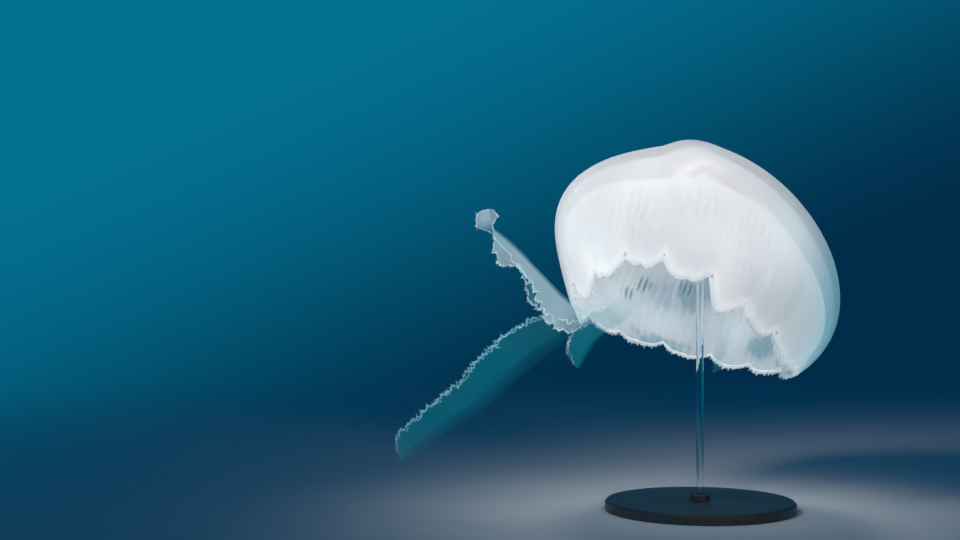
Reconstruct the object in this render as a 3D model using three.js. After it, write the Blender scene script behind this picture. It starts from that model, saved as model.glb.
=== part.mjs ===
// A moon jellyfish, Aurelia aurita, life-size and in mid-pulse, held on a display stand.
//
// Millimetres, +Z up. The origin is the centre of the stand's underside. The front is -Y, and the animal
// swims towards +X and up, so its oral arms trail towards -X.
//
// The bell is a polar surface about its own centre. theta is the angle from the apex, phi the turn round
// the axis: 0 on the leading side (+X), 90 degrees at the back, 180 on the trailing side, 270 at the front.

import * as THREE from "three";
import { mergeVertices } from "three/addons/utils/BufferGeometryUtils.js";

const DEG = Math.PI / 180;
const GAP = 0.3; // clearance between solids that touch in life
const WELD = 1e-4; // points nearer than this are one
const STEP = 0.02; // a small step across a leaf, to find its slope

const BELL = {
  centre: [-1, -10, 190],
  yaw: -8.3, // degrees, about Z
  leanRight: 16, // degrees, apex towards +X
  leanBack: 17, // degrees, apex towards +Y
  radius: 103.5, // before the shoulder and the lumps are added
  crownEnd: 70, // theta where the crown meets the lobes
};
const SHOULDER = { rise: 16.5, theta: 87.5, spread: 27.5 };
const SHOULDER_SLANT = { rise: -6, theta: 10.5, spread: 3.5 }; // change from the middle to the leading side
// The jelly thins between two thetas, and again over the last part of a lobe, to a lip at the margin.
const JELLY = { top: 21.5, edge: 4.5, thinFrom: 56, thinTo: 108, slant: 6, lip: 0.45, lipFrom: 0.75 };
const STOMACH = { theta: 14, phi: 180, rise: 9, spread: 18 }; // the hump under the apex
const POCKET = { depth: 7, from: 52, to: 40 }; // the stomach's cavity, between the jelly and the lining
const LINING = { gap: 1.2, thickness: 2.3, short: 4 }; // it ends so many degrees short of the margin
const LUMPS = [
  { theta: 38, phi: 317, height: -10, spread: 56 }, // the leading side is pressed flatter
  { theta: 20, phi: 180, height: 10, spread: 17 }, // apex
  { theta: 44, phi: 90, height: 6, spread: 28 }, // back
  { theta: 50, phi: 250, height: 5, spread: 28 }, // front
  { theta: 66, phi: 222, height: 2, spread: 18 },
  { theta: 72, phi: 128, height: 2.5, spread: 20 },
];

// The margin's theta every 45 degrees from the leading side: the pulse draws it in unevenly.
const MARGIN = [123, 115, 114, 118, 121, 116, 113, 123];
// Eight lobes of two lappets each. Notches are [phi, depth], both in degrees, and every other one parts
// two lobes.
const NOTCHES = [
  [10, 4], [33, 3], [55, 4], [75, 5], [98, 4], [122, 3], [146, 4], [168, 4],
  [196, 5], [219, 4], [238, 10], [255, 7], [274.5, 9], [292, 4], [312.5, 6], [340, 3],
];
const NOTCH_WIDTH = 4.5;
// Where the rim hangs lower between the notches, or is pulled up: [phi, degrees, spread].
const SAGS = [[161, 3.5, 9], [208, 6, 9], [248, -3, 7], [281, 6.5, 5.5], [337, 4, 9]];
const LOBES = NOTCHES.length / 2;
const LAPPET = { rise: 1.1, from: 75, to: 108 }; // a lappet's middle stands out, growing between two thetas
const SLIT = 0.1; // half the cut between the crown and the lobes, in degrees
const CUT = 0.0022; // half the cut between two lobes, as a share of a lobe

// A skirt of teeth under each lobe. lengths is its reach every 45 degrees, and inward is how far it leans
// in for each millimetre down.
const FRINGE = {
  lengths: [8, 10, 10, 6, 4, 8, 9, 8],
  teeth: 7,
  valley: 0.4, // reach between two teeth, as a share
  thickness: 1.2,
  inward: 0.6,
  setBack: 1.6, // from the outside of the bell
  drop: 0.5, // clearance under the margin
  inset: 0.009, // at each end, as a share of a lobe
};
const GONAD = { offset: 17, ring: 10, tube: 2.2, opening: 80, steps: 10 }; // angles, but for tube and steps
const MANUBRIUM = {
  mouth: 36, // distance from the bell's centre
  lip: 8.5, // radius at the mouth
  waist: 7.6,
  waistHeight: 16,
  top: 10, // radius under the stomach
  flare: 6,
  clearance: 5, // under the lining
  corner: 0.3, // how far the four corners stand out, as a share
};

const LEAF = {
  thickness: 1.5,
  keel: 1.9, // added along the midrib
  keelSpread: 0.22, // as a share of the width
  midrib: 1.6, // how far the two lips stand apart at the midrib
  wave: 27, // one wave along a lip
  waveDepth: 0.11, // as a share of the width
  waveLag: 2, // of one lip behind the other, in radians
};
// An arm's route is its midrib, from the mouth. Its leaf lies to one side of the midrib, as frill says.
// Widths, folds and twists are spaced evenly along it. A fold is the half angle between its two lips, and a
// twist turns both.
const ARMS = [
  {
    name: "arm_upper",
    route: [
      [-1, -11, 215], [-34, -30, 176], [-76, -44, 156], [-103, -46, 165],
      [-130, -45, 190], [-149, -45, 210], [-164, -45, 223], [-172, -45, 239],
    ],
    frill: -1,
    widths: [6, 9, 11, 11, 9, 9, 14, 21, 24, 14, 18, 5, 11],
    folds: [17, 17, 17, 17, 17, 17, 75],
    twists: [0, 0, 0, 0, 0, 0, 90],
    lengths: ["base", "middle", "tip"],
    steps: 11,
  },
  {
    name: "arm_lower",
    route: [
      [-11, 1, 217], [-36, -6, 172], [-72, -20, 146], [-102, -25, 143],
      [-129, -25, 125], [-152, -25, 106], [-176, -26, 86], [-207, -28, 66], [-238, -30, 44],
    ],
    frill: 1,
    widths: [6, 11, 16, 19, 20, 20, 27, 31, 29, 25, 22, 18, 12],
    folds: [15, 15],
    twists: [0, 0],
    lengths: ["base", "middle", "tip"],
    steps: 11,
  },
  {
    name: "arm_back",
    route: [[-1, 11, 219], [-34, 20, 172], [-60, 21, 150], [-80, 20, 137], [-89, 20, 124], [-96, 20, 112]],
    frill: 1,
    widths: [6, 12, 15, 17, 17, 9],
    folds: [20, 20],
    twists: [0, 0],
    lengths: ["base", "tip"],
    steps: 8,
  },
  {
    name: "arm_leading",
    route: [[11, -1, 215], [14, 10, 180], [17, 22, 145], [15, 32, 108]],
    frill: -1,
    widths: [6, 11, 14, 12, 5],
    folds: [20, 20],
    twists: [0, 0],
    lengths: ["base", "tip"],
    steps: 8,
  },
];

const STAND = { radius: 76, height: 8, chamfer: 1.5, rod: 3, collar: 8, collarHeight: 5, collarChamfer: 1 };

const gauss = (x, spread) => Math.exp(-((x / spread) ** 2));
const smooth = (from, to, x) => THREE.MathUtils.smoothstep(x, from, to);
const turnBetween = (a, b) => Math.abs(((((a - b) % 360) + 540) % 360) - 180);

// A value between evenly spaced ones, eased so that it has no corners. t runs from 0 to 1.
function between(values, t) {
  const at = Math.min(Math.max(t, 0), 1) * (values.length - 1);
  const i = Math.min(Math.floor(at), values.length - 2);
  return THREE.MathUtils.lerp(values[i], values[i + 1], smooth(0, 1, at - i));
}

// A value between ones that are evenly spaced round the axis.
function round(values, phi) {
  const turn = (((phi % 360) + 360) % 360) / 360;
  return between([...values, values[0]], turn);
}

// ---- the bell's surfaces, in degrees, about the bell's own centre

function direction(theta, phi) {
  const flat = Math.sin(theta * DEG);
  return new THREE.Vector3(flat * Math.cos(phi * DEG), flat * Math.sin(phi * DEG), Math.cos(theta * DEG));
}

// Notches count on from the first, so notchPhi(16) is the first again, a turn later.
function notchPhi(i) {
  const turns = Math.floor(i / NOTCHES.length);
  return NOTCHES[i - turns * NOTCHES.length][0] + 360 * turns;
}

// Where a turn phi lies between the two notches around it, from 0 to 1.
function lappetAt(phi) {
  const turned = ((((phi - notchPhi(0)) % 360) + 360) % 360) + notchPhi(0);
  let i = 0;
  while (notchPhi(i + 1) <= turned) i++;
  return (turned - notchPhi(i)) / (notchPhi(i + 1) - notchPhi(i));
}

// The turn phi at a place counted in lappets, so that a grid line runs to every notch.
const phiAt = (lappets) =>
  THREE.MathUtils.lerp(notchPhi(Math.floor(lappets)), notchPhi(Math.floor(lappets) + 1), lappets % 1);

function away(theta, phi, spot) {
  return direction(theta, phi).angleTo(direction(spot.theta, spot.phi)) / DEG;
}

function outerRadius(theta, phi) {
  const side = Math.cos(phi * DEG) * Math.sin(theta * DEG);
  const peak = SHOULDER.theta + SHOULDER_SLANT.theta * side;
  const spread = SHOULDER.spread + SHOULDER_SLANT.spread * side;
  let r = BELL.radius + (SHOULDER.rise + SHOULDER_SLANT.rise * side) * gauss(theta - peak, spread);
  for (const lump of LUMPS) r += lump.height * gauss(away(theta, phi, lump), lump.spread);
  return r + LAPPET.rise * Math.sin(Math.PI * lappetAt(phi)) * smooth(LAPPET.from, LAPPET.to, theta);
}

function innerRadius(theta, phi) {
  const shift = JELLY.slant * Math.cos(phi * DEG) * Math.sin(theta * DEG);
  const thin = smooth(JELLY.thinFrom + shift, JELLY.thinTo + shift, theta);
  const hump = STOMACH.rise * gauss(away(theta, phi, STOMACH), STOMACH.spread);
  return outerRadius(theta, phi) - THREE.MathUtils.lerp(JELLY.top, JELLY.edge, thin) + hump;
}

function marginTheta(phi) {
  let theta = round(MARGIN, phi);
  for (const [at, depth] of NOTCHES) theta -= depth * Math.exp(-turnBetween(phi, at) / NOTCH_WIDTH);
  for (const [at, sag, spread] of SAGS) theta += sag * gauss(turnBetween(phi, at), spread);
  return theta;
}

// The top of the lining: it parts from the jelly round the stomach.
function liningRadius(theta, phi) {
  const pocket = POCKET.depth * (1 - smooth(POCKET.to, POCKET.from, away(theta, phi, STOMACH)));
  return innerRadius(theta, phi) - LINING.gap - pocket;
}

const onBell = (theta, phi, r) => direction(theta, phi).multiplyScalar(r);

// ---- making solids

// Drops the triangles that a pole folds to nothing, shares the vertices, and turns the faces outwards.
function closed(points) {
  const corners = [];
  for (let i = 0; i < points.length; i += 3) {
    const [a, b, c] = points.slice(i, i + 3);
    if (Math.min(a.distanceTo(b), b.distanceTo(c), c.distanceTo(a)) > WELD) corners.push(a, b, c);
  }
  let volume = 0;
  for (let i = 0; i < corners.length; i += 3) {
    volume += corners[i].dot(corners[i + 1].clone().cross(corners[i + 2]));
  }
  if (volume < 0) corners.reverse();
  return mergeVertices(new THREE.BufferGeometry().setFromPoints(corners), WELD);
}

// The solid between a front and a back surface over the same grid, u and v from 0 to 1. wrap joins u = 1 to
// u = 0.
function slab(front, back, across, along, wrap = false) {
  const points = [];
  const quad = (a, b, c, d) => points.push(a, b, c, a, c, d);
  const u = (i) => (wrap && i === across ? 0 : i / across);
  for (let i = 0; i < across; i++) {
    for (let j = 0; j < along; j++) {
      const [u0, u1, v0, v1] = [u(i), u(i + 1), j / along, (j + 1) / along];
      quad(front(u0, v0), front(u1, v0), front(u1, v1), front(u0, v1));
      quad(back(u0, v1), back(u1, v1), back(u1, v0), back(u0, v0));
      if (i === 0 && !wrap) quad(front(0, v1), back(0, v1), back(0, v0), front(0, v0));
      if (i === across - 1 && !wrap) quad(front(1, v0), back(1, v0), back(1, v1), front(1, v1));
    }
    quad(front(u(i), 0), back(u(i), 0), back(u(i + 1), 0), front(u(i + 1), 0));
    quad(front(u(i + 1), 1), back(u(i + 1), 1), back(u(i), 1), front(u(i), 1));
  }
  return closed(points);
}

function bare(geometry) {
  geometry.deleteAttribute("normal");
  geometry.deleteAttribute("uv");
  return geometry;
}

// A solid of revolution about +Z, from a profile of [radius, height] that starts and ends on the axis.
function turned(profile, sides) {
  const lathe = new THREE.LatheGeometry(profile.map(([r, z]) => new THREE.Vector2(r, z)), sides);
  return bare(lathe.rotateX(Math.PI / 2));
}

const solid = (color, roughness) => new THREE.MeshStandardMaterial({ color, roughness });
const clear = (color, roughness, opacity) =>
  new THREE.MeshStandardMaterial({ color, roughness, transparent: true, opacity });

const MATERIALS = {
  jelly: clear("#dfe9ec", 0.25, 0.75),
  lining: solid("#eef0f0", 0.45),
  fringe: solid("#f4f5f5", 0.5),
  gonad: solid("#e9dfe2", 0.5),
  arm: clear("#b9ced6", 0.35, 0.7),
  stand: solid("#3c4247", 0.4),
  rod: clear("#dfe6e8", 0.05, 0.4),
};

function part(name, geometry, material) {
  const mesh = new THREE.Mesh(geometry, MATERIALS[material]);
  mesh.name = name;
  return mesh;
}

// ---- the bell: a crown and eight marginal lobes of clear jelly

function crown() {
  const theta = (v) => v * (BELL.crownEnd - SLIT);
  return part(
    "bell_crown",
    slab(
      (u, v) => onBell(theta(v), u * 360, outerRadius(theta(v), u * 360)),
      (u, v) => onBell(theta(v), u * 360, innerRadius(theta(v), u * 360)),
      36,
      7,
      true,
    ),
    "jelly",
  );
}

function lobe(index) {
  const phi = (u) => phiAt(2 * (index + THREE.MathUtils.lerp(CUT, 1 - CUT, u)));
  const theta = (u, v) => THREE.MathUtils.lerp(BELL.crownEnd + SLIT, marginTheta(phi(u)), v);
  const outer = (u, v) => outerRadius(theta(u, v), phi(u));
  const inner = (u, v) => {
    const thickness = outer(u, v) - innerRadius(theta(u, v), phi(u));
    return outer(u, v) - thickness * (1 - (1 - JELLY.lip) * smooth(JELLY.lipFrom, 1, v));
  };
  return part(
    `bell_lobe_${index + 1}`,
    slab(
      (u, v) => onBell(theta(u, v), phi(u), outer(u, v)),
      (u, v) => onBell(theta(u, v), phi(u), inner(u, v)),
      8,
      6,
    ),
    "jelly",
  );
}

// ---- the subumbrella: the muscular lining of the bell, seen through the jelly

function subumbrella() {
  const phi = (u) => phiAt(2 * LOBES * u);
  const theta = (u, v) => v * (marginTheta(phi(u)) - LINING.short);
  const surface = (depth) => (u, v) => onBell(theta(u, v), phi(u), liningRadius(theta(u, v), phi(u)) - depth);
  return part("subumbrella", slab(surface(0), surface(LINING.thickness), 6 * LOBES, 9, true), "lining");
}

// ---- the marginal tentacles, joined to one toothed skirt for each lobe

function fringe(index) {
  const phi = (u) => phiAt(2 * (index + THREE.MathUtils.lerp(FRINGE.inset, 1 - FRINGE.inset, u)));
  const steps = 2 * FRINGE.teeth;
  const surface = (side) => (u, v) => {
    const theta = marginTheta(phi(u));
    const r = outerRadius(theta, phi(u)) - FRINGE.setBack + (side * FRINGE.thickness) / 2;
    const hang = direction(90, phi(u)).multiplyScalar(-FRINGE.inward).setZ(-1).normalize();
    const tooth = Math.round(u * steps) % 2 ? 1 : FRINGE.valley;
    const reach = FRINGE.drop + v * tooth * round(FRINGE.lengths, phi(u));
    return onBell(theta, phi(u), r).addScaledVector(hang, reach);
  };
  return part(`tentacles_${index + 1}`, slab(surface(1), surface(-1), steps, 1), "fringe");
}

// ---- the stomach's organs: manubrium and four horseshoe gonads

// A frame at the stomach's hump: z runs from the bell's centre out through the hump.
function stomachFrame() {
  const frame = new THREE.Group();
  frame.quaternion.setFromUnitVectors(new THREE.Vector3(0, 0, 1), direction(STOMACH.theta, STOMACH.phi));
  return frame;
}

// A bell surface's radius in a direction given in the stomach's frame.
function radiusThrough(surface, vector, frame) {
  const d = vector.clone().applyQuaternion(frame.quaternion);
  return surface(Math.acos(d.z) / DEG, Math.atan2(d.y, d.x) / DEG);
}

function gonad(index, frame) {
  const turn = 45 + 90 * index;
  const centre = direction(GONAD.offset, turn);
  const east = new THREE.Vector3(0, 0, 1).cross(centre).normalize();
  const inward = centre.clone().cross(east).negate().normalize(); // towards the manubrium
  const half = 180 - GONAD.opening / 2;
  const points = Array.from({ length: GONAD.steps + 1 }, (_, i) => {
    const a = (180 + THREE.MathUtils.lerp(-half, half, i / GONAD.steps)) * DEG;
    const d = centre
      .clone()
      .multiplyScalar(Math.cos(GONAD.ring * DEG))
      .addScaledVector(inward, Math.cos(a) * Math.sin(GONAD.ring * DEG))
      .addScaledVector(east, Math.sin(a) * Math.sin(GONAD.ring * DEG));
    const floor = radiusThrough(liningRadius, d.normalize(), frame);
    return d.multiplyScalar(floor + GONAD.tube + 2 * GAP);
  });
  const section = new THREE.Shape().absarc(0, 0, GONAD.tube, 0, 2 * Math.PI);
  const tube = new THREE.ExtrudeGeometry(section, {
    steps: GONAD.steps,
    curveSegments: 3,
    extrudePath: new THREE.CatmullRomCurve3(points),
    bevelEnabled: false,
  });
  return part(`gonad_${index + 1}`, bare(tube), "gonad");
}

function manubrium(frame) {
  const { mouth, lip, waist, waistHeight, top, flare, clearance, corner } = MANUBRIUM;
  const lining = radiusThrough(liningRadius, new THREE.Vector3(0, 0, 1), frame) - LINING.thickness;
  const ceiling = lining - clearance;
  const geometry = turned(
    [
      [0, mouth],
      [lip, mouth],
      [waist, mouth + waistHeight],
      [waist, ceiling - 2 * flare],
      [top, ceiling - flare],
      [0, ceiling],
    ],
    20,
  );
  const at = geometry.getAttribute("position");
  for (let i = 0; i < at.count; i++) {
    const [x, y] = [at.getX(i), at.getY(i)];
    const flare = 1 + corner * Math.cos(4 * Math.atan2(y, x));
    at.setXY(i, x * flare, y * flare);
  }
  return part("manubrium", geometry, "lining");
}

// ---- the oral arms: long leaves folded along a midrib, with two frilled lips

// The folded leaf's section, as a place along it and across it. t runs from -1 at one frilled edge, through
// the midrib at 0, to 1 at the other.
function section(t, width, angle) {
  const reach = Math.abs(t) * width;
  const aside = LEAF.midrib * (1 - Math.exp(-reach / LEAF.midrib)) + reach * Math.sin(angle * DEG);
  return new THREE.Vector2(reach * Math.cos(angle * DEG), Math.sign(t) * aside);
}

function arm(spec) {
  const curve = new THREE.CatmullRomCurve3(spec.route.map((p) => new THREE.Vector3(...p)));
  curve.arcLengthDivisions = 400;
  const total = curve.getLength();
  const count = spec.lengths.length;

  const leaf = (s, t, side) => {
    const at = curve.getPointAt(s);
    const along = curve.getTangentAt(s);
    const leafward = new THREE.Vector3(0, 1, 0).cross(along).multiplyScalar(spec.frill).normalize();
    leafward.applyAxisAngle(along, between(spec.twists, s) * DEG);
    const across = along.clone().cross(leafward);
    const width = between(spec.widths, s);
    const angle = between(spec.folds, s);
    const here = section(t, width, angle);
    const [before, after] = [Math.max(t - STEP, -1), Math.min(t + STEP, 1)];
    const slope = section(after, width, angle).sub(section(before, width, angle));
    const normal = new THREE.Vector2(-slope.y, slope.x).normalize();
    const thick = (LEAF.thickness + LEAF.keel * gauss(t, LEAF.keelSpread)) / 2;
    const wave = (2 * Math.PI * s * total) / LEAF.wave + (t > 0 ? 0 : LEAF.waveLag);
    const ruffle = LEAF.waveDepth * width * t * t * Math.sin(wave);
    here.addScaledVector(normal, side * thick + ruffle);
    return at.addScaledVector(leafward, here.x).addScaledVector(across, here.y);
  };

  return spec.lengths.map((word, i) => {
    const cut = GAP / 2 / total;
    const start = i / count + (i ? cut : 0);
    const end = (i + 1) / count - (i < count - 1 ? cut : 0);
    const s = (v) => THREE.MathUtils.lerp(start, end, v);
    return part(
      `${spec.name}_${word}`,
      slab((u, v) => leaf(s(v), 2 * u - 1, 1), (u, v) => leaf(s(v), 2 * u - 1, -1), 6, spec.steps),
      "arm",
    );
  });
}

// ---- the display stand: a round base, a collar and one clear rod up to the mouth

function stand(rodTop) {
  const { radius, height, chamfer, rod, collar, collarHeight, collarChamfer } = STAND;
  const base = turned(
    [[0, 0], [radius, 0], [radius, height - chamfer], [radius - chamfer, height], [0, height]],
    40,
  );
  const foot = height + GAP;
  const pin = turned([[0, foot], [rod, foot], [rod, rodTop], [0, rodTop]], 16);
  const hole = rod + GAP;
  const ring = turned(
    [
      [hole, foot],
      [collar, foot],
      [collar, foot + collarHeight - collarChamfer],
      [collar - collarChamfer, foot + collarHeight],
      [hole, foot + collarHeight],
      [hole, foot],
    ],
    16,
  );
  return [
    part("stand_base", base, "stand"),
    part("stand_rod", pin, "rod"),
    part("stand_collar", ring, "stand"),
  ];
}

// ---- putting it together

const bell = new THREE.Group();
bell.position.set(...BELL.centre);
bell.rotation.set(-BELL.leanBack * DEG, BELL.leanRight * DEG, BELL.yaw * DEG, "ZYX");

const stomach = stomachFrame();
bell.add(stomach, crown(), subumbrella());
for (let i = 0; i < LOBES; i++) bell.add(lobe(i), fringe(i));
for (let i = 0; i < 4; i++) stomach.add(gonad(i, stomach));
stomach.add(manubrium(stomach));

// The lowest point of the manubrium over the origin, where the rod ends.
function mouthHeight() {
  bell.updateMatrixWorld(true);
  const mesh = stomach.children.find((child) => child.name === "manubrium");
  const at = mesh.geometry.getAttribute("position");
  let lowest = Infinity;
  for (let i = 0; i < at.count; i++) {
    const p = new THREE.Vector3().fromBufferAttribute(at, i).applyMatrix4(mesh.matrixWorld);
    if (Math.hypot(p.x, p.y) < STAND.rod + MANUBRIUM.lip) lowest = Math.min(lowest, p.z);
  }
  return lowest;
}

const jellyfish = new THREE.Group();
jellyfish.add(bell, ...ARMS.flatMap(arm), ...stand(mouthHeight() - GAP));
export default jellyfish;
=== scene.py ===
# %% [markdown]
# A moon jellyfish on its display stand
#
# The animal is one clear bell in mid-pulse, with a white lining, hundreds of short tentacles round its margin and
# four frilled arms that trail from its mouth. Almost all of it is see-through. One mesh with one finish could not
# show that, so it is built in layers: jelly, lining, stomach and frills are meshes of their own, seen through each
# other. First comes the frame, the plain solids that the looks are built around.

# %% Load the frame
import math

import bpy
import numpy as np
from mathutils import Euler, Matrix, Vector


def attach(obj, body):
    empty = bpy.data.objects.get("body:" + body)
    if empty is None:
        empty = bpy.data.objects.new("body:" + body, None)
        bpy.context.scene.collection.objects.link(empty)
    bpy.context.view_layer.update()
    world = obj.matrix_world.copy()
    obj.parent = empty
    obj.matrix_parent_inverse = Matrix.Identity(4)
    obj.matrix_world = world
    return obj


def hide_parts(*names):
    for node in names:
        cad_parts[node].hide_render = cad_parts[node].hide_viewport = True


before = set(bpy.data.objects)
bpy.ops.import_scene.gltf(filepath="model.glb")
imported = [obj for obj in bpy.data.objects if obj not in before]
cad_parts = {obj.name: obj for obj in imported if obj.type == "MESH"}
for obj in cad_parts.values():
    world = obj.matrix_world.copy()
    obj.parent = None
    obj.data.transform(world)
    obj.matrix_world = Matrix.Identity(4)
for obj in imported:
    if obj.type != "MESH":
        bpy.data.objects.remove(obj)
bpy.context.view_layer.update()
scene = bpy.context.scene
MM = 0.001
RAD = math.pi / 180
print("the frame has", len(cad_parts), "nodes")


def put(name, data):
    """A new object of the scene."""
    thing = bpy.data.objects.new(name, data)
    scene.collection.objects.link(thing)
    return thing


# %% [markdown]
# The view
#
# A level camera a little under the bell's middle looks into the opening, as a diver would. A longish lens keeps the
# trailing arms in proportion, where a short one would stretch them.

# %% Camera
lens = bpy.data.cameras.new("camera")
lens.sensor_width = 36
lens.lens = 56.25
lens.clip_start = 0.01
camera = put("camera", lens)
camera.location = (-0.176, -1.2, 0.192)
camera.rotation_euler = (math.radians(90), 0, 0)
scene.camera = camera

# %% [markdown]
# Shader maths as expressions
#
# A shader is a graph, but its sums read better as Python. This class wraps one socket, and its operators add Math
# nodes, so 1 - mask can be written out. Colours go through Mix nodes, as a Math node would turn them grey.


# %% A wrapped socket
class Value:
    """One socket of a graph. Arithmetic on it adds Math nodes."""

    def __init__(self, graph, socket):
        self.graph, self.socket = graph, socket

    def math(self, operation, *values, clamp=False):
        settings = {"operation": operation, "use_clamp": clamp}
        return self.graph.node("Math", settings, dict(enumerate(values)))

    def __add__(self, other):
        return self.math("ADD", self, other)

    __radd__ = __add__

    def __sub__(self, other):
        return self.math("SUBTRACT", self, other)

    def __rsub__(self, other):
        return self.math("SUBTRACT", other, self)

    def __mul__(self, other):
        return self.math("MULTIPLY", self, other)

    __rmul__ = __mul__

    def clamp(self):
        return self.math("ADD", self, 0.0, clamp=True)

    def between(self, low, high):
        """0 under low, 1 over high, and smooth between."""
        settings = {"interpolation_type": "SMOOTHSTEP"}
        return self.graph.node("MapRange", settings, {"Value": self, "From Min": low, "From Max": high})


def sine(value):
    return value.math("SINE", value)


def unsigned(value):
    """A number without its sign."""
    return value.math("ABSOLUTE", value)


class Graph:
    """A node graph. node() adds any node: its settings first, then its sockets' values or links."""

    def __init__(self, tree):
        self.tree = tree
        tree.nodes.clear()

    def feed(self, socket, value):
        if isinstance(value, Value):
            self.tree.links.new(value.socket, socket)
        elif isinstance(value, tuple) and len(value) == 3 and len(socket.default_value) == 4:
            socket.default_value = (*value, 1)
        else:
            socket.default_value = value

    def node(self, kind, settings=None, sockets=None, out=0):
        made = self.tree.nodes.new("ShaderNode" + kind)
        for name, value in (settings or {}).items():
            setattr(made, name, value)
        for key, value in (sockets or {}).items():
            self.feed(made.inputs[key], value)
        return Value(self, made.outputs[out]) if made.outputs else made

    def attribute(self, name):
        """A number that the mesh carries at each vertex."""
        return self.node("Attribute", {"attribute_name": name}, out="Fac")

    def noise(self, size, detail=3.0, rough=0.5, warp=0.0):
        """Noise whose blots are about size metres across, from 0 to 1."""
        place = self.node("TexCoord", out="Object")
        sockets = {"Vector": place, "Scale": 1 / size, "Detail": detail, "Roughness": rough, "Distortion": warp}
        return self.node("TexNoise", {}, sockets)

    def blend(self, share, first, second):
        """A colour that is first where share is 0 and second where it is 1. A Mix node has sockets of every kind, and
        its colours are inputs 6 and 7 and output 2."""
        return self.node("Mix", {"data_type": "RGBA"}, {0: share, 6: first, 7: second}, out=2)

    def bump(self, height, depth):
        """A normal from a height of 0 to 1, where 1 stands depth metres out."""
        return self.node("Bump", {}, {"Height": height, "Distance": depth})

    def turn_round_bell(self):
        """The angle round the bell, in radians, from the way that the mesh carries."""
        side_x, side_y = self.attribute("side_x"), self.attribute("side_y")
        return side_y.math("ARCTAN2", side_y, side_x)


class Finish(Graph):
    """A material with one Principled surface. Its sockets' names are written with _ for a space."""

    def __init__(self, name, **fixed):
        self.material = bpy.data.materials.new(name)
        self.material.use_nodes = True
        super().__init__(self.material.node_tree)
        self.skin = self.tree.nodes.new("ShaderNodeBsdfPrincipled")
        self.node("OutputMaterial", {}, {"Surface": Value(self, self.skin.outputs["BSDF"])})
        self.set(**fixed)

    def set(self, **sockets):
        for name, value in sockets.items():
            self.feed(self.skin.inputs[name.replace("_", " ")], value)


# %% [markdown]
# The stage
#
# A white animal that is mostly water shows best against something dark, here a deep blue-green with one soft glow
# from the left. It is the world's own colour, because a painted plane would show its edges from the side. The floor
# is pale. The lamps are soft and close, so that their pool of light fades out behind the stand, and the floor also
# turns see-through away from the stand, which paints that fade onto it.

# %% Floor, backdrop and lamps
scene.view_settings.view_transform = "Standard"


def lamp(name, at, towards, power, colour, spread):
    light = bpy.data.lights.new(name, "AREA")
    light.shape = "DISK"
    light.size = 0.3
    light.energy = power
    light.color = colour
    light.spread = math.radians(spread)
    thing = put(name, light)
    thing.location = at
    thing.rotation_euler = (Vector(towards) - Vector(at)).to_track_quat("-Z", "Y").to_euler()


HALF = 4
mesh = bpy.data.meshes.new("floor")
mesh.from_pydata([(-HALF, -HALF, 0), (HALF, -HALF, 0), (HALF, HALF, 0), (-HALF, HALF, 0)], [], [(0, 1, 2, 3)])
pale = Finish("pale_floor", Roughness=0.95, Specular_IOR_Level=0.1)
pale.set(Base_Color=pale.blend(pale.noise(0.6, 2.0).between(0.3, 0.7), (0.70, 0.73, 0.74), (0.73, 0.76, 0.77)))
here = pale.node("TexCoord", out="Object")
distance = pale.node("VectorMath", {"operation": "LENGTH"}, {0: here}, out="Value")
# The floor turns clear away from the stand and darkens into the backdrop: a painted fade of the pool of light.
pale.set(Alpha=1 - distance.between(0.05, 1.7))
mesh.materials.append(pale.material)
put("floor", mesh)

world = bpy.data.worlds.new("backdrop")
world.use_nodes = True
scene.world = world
water = Graph(world.node_tree)
way = water.node("TexCoord", out="Generated")
axes = ((-0.42, 0, 0.908), (0, 0, 1))
slant, rise = (water.node("VectorMath", {"operation": "DOT_PRODUCT"}, {0: way, 1: a}, out="Value") for a in axes)
tone = water.blend(slant.between(-0.10, 0.20), (0.0005, 0.026, 0.068), (0.001, 0.165, 0.290))
tone = water.blend(rise.between(0.2, 0.5), tone, (0.0006, 0.045, 0.115))
water.node("OutputWorld", {}, {"Surface": water.node("Background", {}, {"Color": tone})})

lamp("key", (-0.62, -0.62, 0.72), (-0.04, 0, 0.23), 0.160, (1.0, 0.955, 0.90), 30)
lamp("top", (-0.05, 0.28, 1.0), (-0.02, 0, 0.18), 0.076, (1.0, 0.965, 0.92), 29)
lamp("fill", (0.42, -1.10, 0.36), (0, 0, 0.23), 0.102, (1.0, 0.975, 0.965), 30)

# %% [markdown]
# The bell's form
#
# The bell is a dome drawn in by its muscles. A grid pushed about by hand would be hard to keep smooth, so it is
# written as a radius in every direction from a point inside: a ball, a wide shoulder, a few soft lumps, and an edge
# that hangs lower in some places than others. Theta is the angle from the apex and phi the angle round it. Every
# layer of the bell is measured from that one surface.

# %% The bell in numbers
CENTRE = np.array([-1, -10, 190]) * MM
TURN = np.array(Euler((-17 * RAD, 16 * RAD, -8.3 * RAD), "XYZ").to_matrix())
RADIUS = 103.5
SHOULDER = {"rise": 16.5, "theta": 87.5, "spread": 27.5}
SHOULDER_SLANT = {"rise": -6, "theta": 10.5, "spread": 3.5}
JELLY = {"top": 21.5, "edge": 4.5, "thin_from": 56, "thin_to": 108, "slant": 6}
HUMP = {"height": 9, "spread": 18}
POCKET = {"depth": 7, "whole": 40, "gone": 52, "clear_edge": 6}
STOMACH = (14, 180)  # theta and phi of its middle
OVER_STOMACH = (*STOMACH, 17)  # theta, phi and spread of the place where the four horseshoes show through,
CLEAR_EDGE = (72, 225, 21)  # of the crown's trailing edge, which is clear as the lining hangs lower there,
CLEAR_SIDE = (88, 2, 36)  # and of the leading side, which is clearest of all
LUMPS = [  # theta, phi, spread and height
    (38, 317, 56, -10), (20, 180, 17, 10), (44, 90, 28, 6), (50, 250, 28, 5), (66, 222, 18, 2), (72, 128, 20, 2.5),
]
MARGIN = [123, 115, 114, 118, 121, 116, 113, 123]  # theta of the rim, every 45 degrees of phi
FRONT = {"phi": 258, "spread": 66}
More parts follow.
